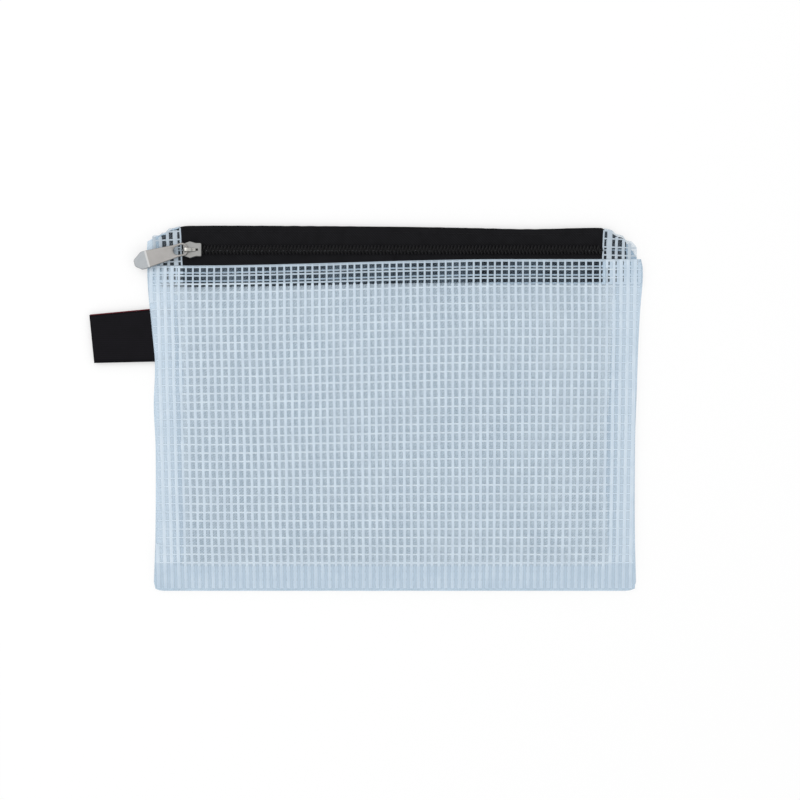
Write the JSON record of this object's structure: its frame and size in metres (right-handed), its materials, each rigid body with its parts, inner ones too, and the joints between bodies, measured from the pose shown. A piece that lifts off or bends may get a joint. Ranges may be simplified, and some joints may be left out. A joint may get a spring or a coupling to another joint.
{
  "type": "zip document wallet",
  "caption": "Flat zip document wallet of net-reinforced clear vinyl, with a coil zip along the top, a metal slider with a pull tab, and a folded ribbon tab in one side seam.",
  "frame": {"origin": "centre of the back panel's outer face, which lies on the table", "axes": "+X along the zip, towards its open end; +Y from the bottom seam to the zip; +Z out of the front panel"},
  "size_m": [0.2065, 0.1366, 0.0062],
  "materials": {
    "film": "clear soft vinyl film",
    "yarn": "white polyester net yarn under vinyl",
    "tape": "black woven zip tape",
    "coil": "black moulded coil",
    "nickel": "satin nickel plate",
    "spring_steel": "bare spring steel",
    "white_thread": "white sewing thread",
    "black_thread": "black sewing thread",
    "ribbon": "black satin ribbon"
  },
  "bodies": {
    "pouch": {"back_panel": "film", "back_warp_yarns": "yarn", "back_weft_yarns": "yarn", "front_panel": "film", "front_warp_yarns": "yarn", "front_weft_yarns": "yarn", "left_end_patch": "film", "right_end_patch": "film", "left_patch_yarns": "yarn", "right_patch_yarns": "yarn", "zip_tape_back": "tape", "zip_coil_back": "coil", "top_stitches": "black_thread", "patch_stitches": "white_thread", "seam_stitches": "white_thread", "label_tail": "ribbon"},
    "front_lip": {"front_hem": "film", "hem_warp_yarns": "yarn", "hem_weft_yarns": "yarn", "zip_tape_front": "tape", "zip_coil_front": "coil", "hem_stitches": "white_thread"},
    "slider": {"slider_body": "nickel", "slider_bridge": "nickel", "lock_spring": "spring_steel"},
    "pull": {"pull_tab": "nickel"},
    "label": {"label_loop": "ribbon"}
  },
  "joints": [
    {"name": "zip_slide", "type": "slide", "parent": "pouch", "child": "slider", "axis": [1, 0, 0], "range_m": [0, 0.149], "deforming": ["zip_coil_front", "zip_coil_back"]},
    {"name": "mouth_open", "type": "hinge", "parent": "pouch", "child": "front_lip", "pos_m": [0, 0.04655, 0.0022], "axis": [1, 0, 0], "range_deg": [0, 75], "deforming": ["front_hem", "hem_warp_yarns", "hem_weft_yarns", "zip_tape_front", "hem_stitches"]},
    {"name": "pull_flip", "type": "hinge", "parent": "slider", "child": "pull", "pos_m": [-0.07725, 0.059, 0.00497], "axis": [0, 1, 0], "range_deg": [0, 170]},
    {"name": "label_flap", "type": "hinge", "parent": "pouch", "child": "label", "pos_m": [-0.09162, 0.027, 0.00198], "axis": [-0.0698, 0.9976, 0], "range_deg": [0, 110]}
  ],
  "couplings": [
    {"joint": "mouth_open", "follows": "zip_slide", "rad_per_m": 8.78}
  ]
}
